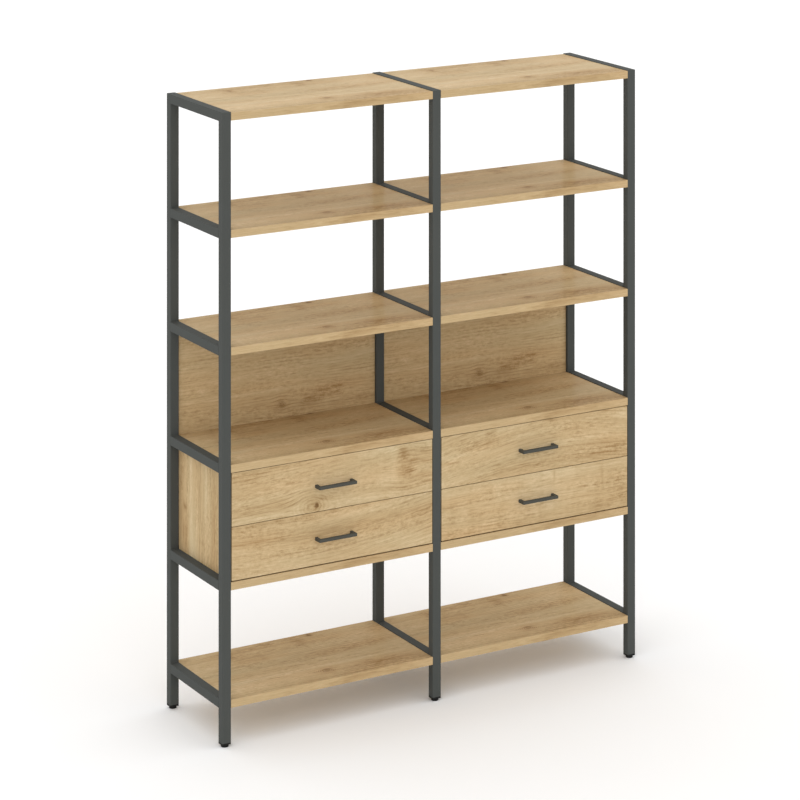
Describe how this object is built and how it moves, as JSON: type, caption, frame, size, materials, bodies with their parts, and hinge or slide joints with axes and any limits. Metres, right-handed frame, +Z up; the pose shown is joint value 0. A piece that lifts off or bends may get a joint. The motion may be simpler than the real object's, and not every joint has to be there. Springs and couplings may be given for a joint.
{
  "type": "bookcase with drawers",
  "caption": "Wide open bookcase with oak-finish shelves on dark steel ladder frames, a tier of bar-handled drawers on telescopic runners, and levelling feet.",
  "frame": {"origin": "on the floor, at the centre of the bookcase's plan outline with its handles", "axes": "+Z up; +Y from the drawer fronts to the rear; +X to the right as seen from the front"},
  "size_m": [1.573, 0.431, 1.9995],
  "materials": {
    "frame_coat": "fine matt powder coat",
    "handle_coat": "fine matt powder coat",
    "oak_board": "matt oak-grain laminate",
    "box_board": "white melamine face",
    "box_bottom": "white-faced hardboard",
    "dowel_wood": "fluted beech",
    "runner_steel": "zinc plated",
    "screw_steel": "zinc plated",
    "cap_plastic": "moulded, matt",
    "foot_plastic": "moulded, matt"
  },
  "bodies": {
    "carcass": {"left_side_frame": "frame_coat", "middle_frame": "frame_coat", "right_side_frame": "frame_coat", "shelf_bearers": "frame_coat", "shelf_screws": "screw_steel", "post_end_caps": "cap_plastic", "panel_dowels": "dowel_wood", "left_shelf_1": "oak_board", "left_shelf_2": "oak_board", "left_shelf_3": "oak_board", "left_shelf_4": "oak_board", "left_shelf_5": "oak_board", "left_shelf_6": "oak_board", "left_niche_back": "oak_board", "left_drawer_bay_back": "oak_board", "left_drawer_bay_left_side": "oak_board", "left_drawer_bay_right_side": "oak_board", "left_cabinet_runners": "runner_steel", "right_shelf_1": "oak_board", "right_shelf_2": "oak_board", "right_shelf_3": "oak_board", "right_shelf_4": "oak_board", "right_shelf_5": "oak_board", "right_shelf_6": "oak_board", "right_niche_back": "oak_board", "right_drawer_bay_back": "oak_board", "right_drawer_bay_left_side": "oak_board", "right_drawer_bay_right_side": "oak_board", "right_cabinet_runners": "runner_steel"},
    "left_lower_drawer": {"left_lower_drawer_front": "oak_board", "left_lower_drawer_box": "box_board", "left_lower_drawer_bottom": "box_bottom", "left_lower_drawer_handle": "handle_coat", "left_lower_drawer_runners": "runner_steel"},
    "left_lower_runner_middles": {"left_lower_drawer_middle_runners": "runner_steel"},
    "left_upper_drawer": {"left_upper_drawer_front": "oak_board", "left_upper_drawer_box": "box_board", "left_upper_drawer_bottom": "box_bottom", "left_upper_drawer_handle": "handle_coat", "left_upper_drawer_runners": "runner_steel"},
    "left_upper_runner_middles": {"left_upper_drawer_middle_runners": "runner_steel"},
    "right_lower_drawer": {"right_lower_drawer_front": "oak_board", "right_lower_drawer_box": "box_board", "right_lower_drawer_bottom": "box_bottom", "right_lower_drawer_handle": "handle_coat", "right_lower_drawer_runners": "runner_steel"},
    "right_lower_runner_middles": {"right_lower_drawer_middle_runners": "runner_steel"},
    "right_upper_drawer": {"right_upper_drawer_front": "oak_board", "right_upper_drawer_box": "box_board", "right_upper_drawer_bottom": "box_bottom", "right_upper_drawer_handle": "handle_coat", "right_upper_drawer_runners": "runner_steel"},
    "right_upper_runner_middles": {"right_upper_drawer_middle_runners": "runner_steel"},
    "left_front_levelling_foot": {"left_front_foot": "foot_plastic"},
    "left_rear_levelling_foot": {"left_rear_foot": "foot_plastic"},
    "middle_front_levelling_foot": {"middle_front_foot": "foot_plastic"},
    "middle_rear_levelling_foot": {"middle_rear_foot": "foot_plastic"},
    "right_front_levelling_foot": {"right_front_foot": "foot_plastic"},
    "right_rear_levelling_foot": {"right_rear_foot": "foot_plastic"}
  },
  "joints": [
    {"name": "left_lower_drawer_slide", "type": "slide", "parent": "carcass", "child": "left_lower_drawer", "axis": [0, -1, 0], "range_m": [0, 0.35]},
    {"name": "left_lower_runner_slide", "type": "slide", "parent": "carcass", "child": "left_lower_runner_middles", "axis": [0, -1, 0], "range_m": [0, 0.175]},
    {"name": "left_upper_drawer_slide", "type": "slide", "parent": "carcass", "child": "left_upper_drawer", "axis": [0, -1, 0], "range_m": [0, 0.35]},
    {"name": "left_upper_runner_slide", "type": "slide", "parent": "carcass", "child": "left_upper_runner_middles", "axis": [0, -1, 0], "range_m": [0, 0.175]},
    {"name": "right_lower_drawer_slide", "type": "slide", "parent": "carcass", "child": "right_lower_drawer", "axis": [0, -1, 0], "range_m": [0, 0.35]},
    {"name": "right_lower_runner_slide", "type": "slide", "parent": "carcass", "child": "right_lower_runner_middles", "axis": [0, -1, 0], "range_m": [0, 0.175]},
    {"name": "right_upper_drawer_slide", "type": "slide", "parent": "carcass", "child": "right_upper_drawer", "axis": [0, -1, 0], "range_m": [0, 0.35]},
    {"name": "right_upper_runner_slide", "type": "slide", "parent": "carcass", "child": "right_upper_runner_middles", "axis": [0, -1, 0], "range_m": [0, 0.175]},
    {"name": "left_front_foot_turn", "type": "hinge", "parent": "carcass", "child": "left_front_levelling_foot", "pos_m": [-0.771, -0.1705, 0.008], "axis": [0, 0, 1], "continuous": true},
    {"name": "left_rear_foot_turn", "type": "hinge", "parent": "carcass", "child": "left_rear_levelling_foot", "pos_m": [-0.771, 0.2015, 0.008], "axis": [0, 0, 1], "continuous": true},
    {"name": "middle_front_foot_turn", "type": "hinge", "parent": "carcass", "child": "middle_front_levelling_foot", "pos_m": [0, -0.1705, 0.008], "axis": [0, 0, 1], "continuous": true},
    {"name": "middle_rear_foot_turn", "type": "hinge", "parent": "carcass", "child": "middle_rear_levelling_foot", "pos_m": [0, 0.2015, 0.008], "axis": [0, 0, 1], "continuous": true},
    {"name": "right_front_foot_turn", "type": "hinge", "parent": "carcass", "child": "right_front_levelling_foot", "pos_m": [0.771, -0.1705, 0.008], "axis": [0, 0, 1], "continuous": true},
    {"name": "right_rear_foot_turn", "type": "hinge", "parent": "carcass", "child": "right_rear_levelling_foot", "pos_m": [0.771, 0.2015, 0.008], "axis": [0, 0, 1], "continuous": true}
  ],
  "couplings": [
    {"joint": "left_lower_runner_slide", "follows": "left_lower_drawer_slide", "ratio": 0.5},
    {"joint": "left_upper_runner_slide", "follows": "left_upper_drawer_slide", "ratio": 0.5},
    {"joint": "right_lower_runner_slide", "follows": "right_lower_drawer_slide", "ratio": 0.5},
    {"joint": "right_upper_runner_slide", "follows": "right_upper_drawer_slide", "ratio": 0.5}
  ]
}
